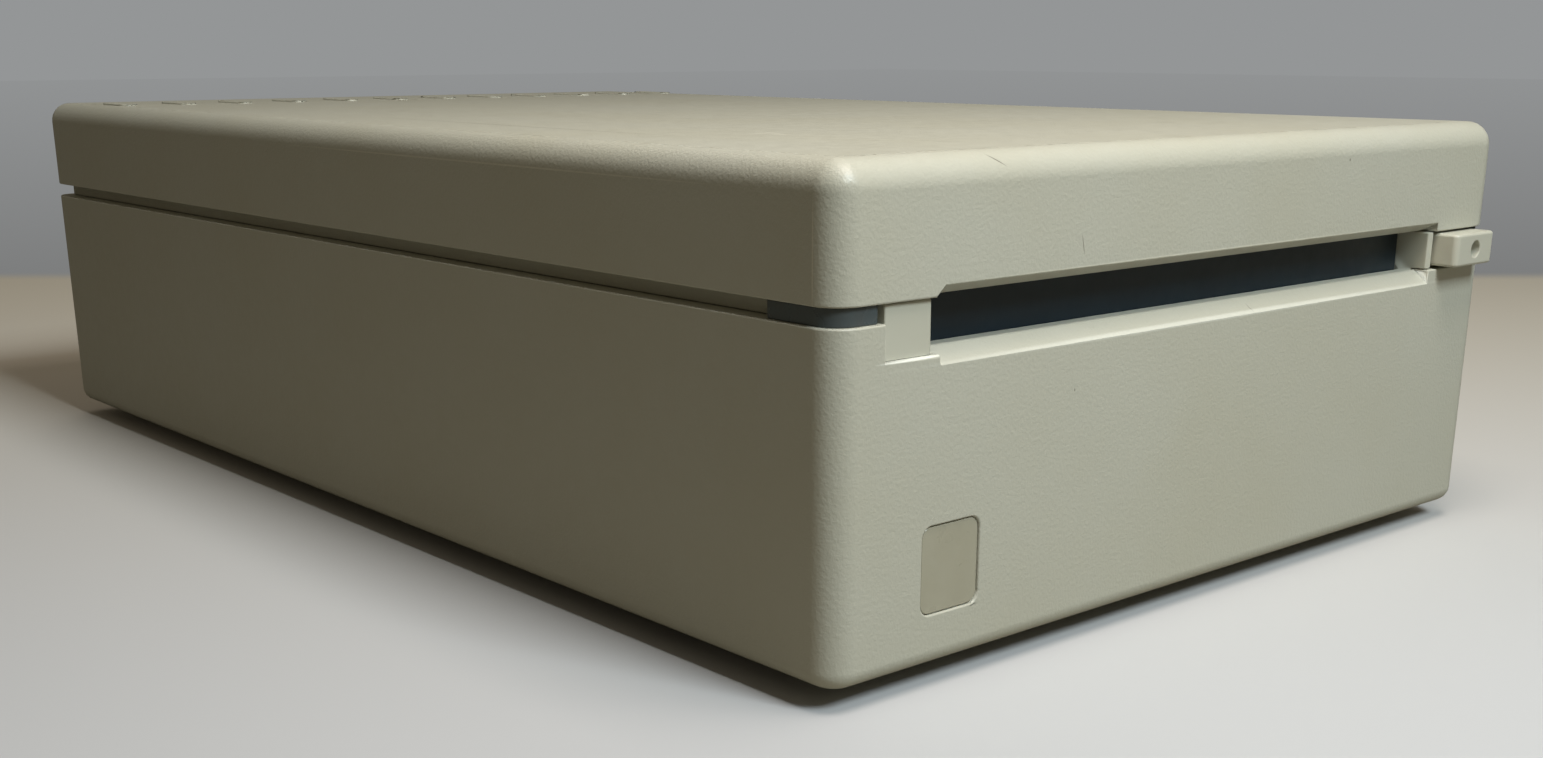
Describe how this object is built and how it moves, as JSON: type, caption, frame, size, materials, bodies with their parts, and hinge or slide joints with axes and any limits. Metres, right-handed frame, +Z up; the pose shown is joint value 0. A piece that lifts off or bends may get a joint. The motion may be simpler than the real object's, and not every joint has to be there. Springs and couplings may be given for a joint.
{
  "type": "external floppy disk drive",
  "caption": "Desktop external drive for 3.5 inch disk cartridges: beige two-shell case with a groove between the shells, slot with a dark dust door, and an eject button.",
  "frame": {"origin": "under the middle of the whole part, on the plane that the feet stand on", "axes": "+X to the right seen from the front, +Y from the front to the back, +Z up"},
  "size_m": [0.12, 0.2076, 0.0543],
  "materials": {
    "case_plastic": "fine spark-eroded ABS, warm beige",
    "bezel_plastic": "smooth moulded ABS, warm beige",
    "smoked_plastic": "dark smoked acrylic",
    "door_plastic": "blue-black moulded plastic",
    "badge_plastic": "satin moulded inlay, plain",
    "sheet_steel": "zinc-plated pressed steel",
    "bright_steel": "ground bright steel",
    "cast_alloy": "die-cast alloy, as cast",
    "spring_steel": "spring steel wire",
    "acetal": "natural acetal gear plastic",
    "black_plastic": "black moulded plastic",
    "board": "green solder mask on glass epoxy",
    "motor_steel": "plated motor can",
    "ribbon": "grey flat-cable vinyl",
    "ceramic": "dark ferrite ceramic",
    "foot_rubber": "moulded rubber"
  },
  "bodies": {
    "case": {"lower_case": "case_plastic", "upper_cover": "case_plastic", "front_bezel": "bezel_plastic", "corner_trim_left": "smoked_plastic", "corner_trim_right": "smoked_plastic", "badge_plate": "badge_plastic", "door_pin": "bright_steel", "door_spring": "spring_steel", "eject_switch": "black_plastic", "drive_frame": "cast_alloy", "top_shield": "sheet_steel", "eject_motor": "motor_steel", "spindle_stator": "board", "guide_rods": "bright_steel", "stepper_motor": "motor_steel", "logic_board": "board", "board_chips": "black_plastic", "board_header": "black_plastic", "ribbon_cable": "ribbon", "disk_sensors": "black_plastic", "socket_shell": "sheet_steel", "socket_insert": "black_plastic", "socket_board": "board", "jack_posts": "bright_steel", "cord_inlet": "foot_rubber", "rubber_feet": "foot_rubber", "case_screws": "bright_steel", "frame_screws": "bright_steel"},
    "door": {"dust_door": "door_plastic"},
    "button": {"eject_button": "bezel_plastic", "button_spring": "spring_steel"},
    "holder": {"disk_holder": "sheet_steel"},
    "slide": {"slide_plate": "sheet_steel"},
    "gear": {"eject_gear": "acetal"},
    "pinion": {"motor_pinion": "bright_steel"},
    "rotor": {"spindle_rotor": "sheet_steel"},
    "screw": {"lead_screw": "bright_steel"},
    "carriage": {"head_carriage": "cast_alloy", "lower_head": "ceramic", "arm_pin": "bright_steel"},
    "head_arm": {"upper_head_arm": "sheet_steel", "upper_head": "ceramic"}
  },
  "joints": [
    {"name": "door_hinge", "type": "hinge", "parent": "case", "child": "door", "pos_m": [-0.00065, -0.09555, 0.0417], "axis": [1, 0, 0], "range_deg": [0, 80], "stiffness_Nm_per_rad": 0.002, "springref_deg": -28.65},
    {"name": "button_press", "type": "slide", "parent": "case", "child": "button", "axis": [0, 1, 0], "range_m": [0, 0.002], "stiffness_N_per_m": 300, "springref_m": -0.002, "deforming": ["button_spring"]},
    {"name": "slide_travel", "type": "slide", "parent": "case", "child": "slide", "axis": [0, -1, 0], "range_m": [0, 0.008]},
    {"name": "holder_drop", "type": "slide", "parent": "case", "child": "holder", "axis": [0, 0, -1], "range_m": [0, 0.004]},
    {"name": "gear_spin", "type": "hinge", "parent": "case", "child": "gear", "pos_m": [-0.03835, 0.03385, 0.0263], "axis": [0, 0, 1], "range_deg": [0, 84]},
    {"name": "pinion_spin", "type": "hinge", "parent": "case", "child": "pinion", "pos_m": [-0.02839, 0.0396, 0.0243], "axis": [0, 0, 1], "range_deg": [-302, 0]},
    {"name": "spindle_spin", "type": "hinge", "parent": "case", "child": "rotor", "pos_m": [-0.00065, -0.03915, 0.0223], "axis": [0, 0, 1], "continuous": true},
    {"name": "carriage_travel", "type": "slide", "parent": "case", "child": "carriage", "axis": [0, -1, 0], "range_m": [0, 0.015]},
    {"name": "screw_spin", "type": "hinge", "parent": "case", "child": "screw", "pos_m": [0.02935, 0.02885, 0.0263], "axis": [0, 1, 0], "range_deg": [0, 1801]},
    {"name": "head_arm_swing", "type": "hinge", "parent": "carriage", "child": "head_arm", "pos_m": [-0.00065, 0.03685, 0.0423], "axis": [1, 0, 0], "range_deg": [0, 6.1]}
  ],
  "couplings": [
    {"joint": "holder_drop", "follows": "slide_travel", "ratio": 0.5},
    {"joint": "gear_spin", "follows": "slide_travel", "rad_per_m": 181.82},
    {"joint": "pinion_spin", "follows": "slide_travel", "rad_per_m": -654.55},
    {"joint": "head_arm_swing", "follows": "slide_travel", "rad_per_m": 13.09},
    {"joint": "screw_spin", "follows": "carriage_travel", "rad_per_m": 2094.4}
  ]
}
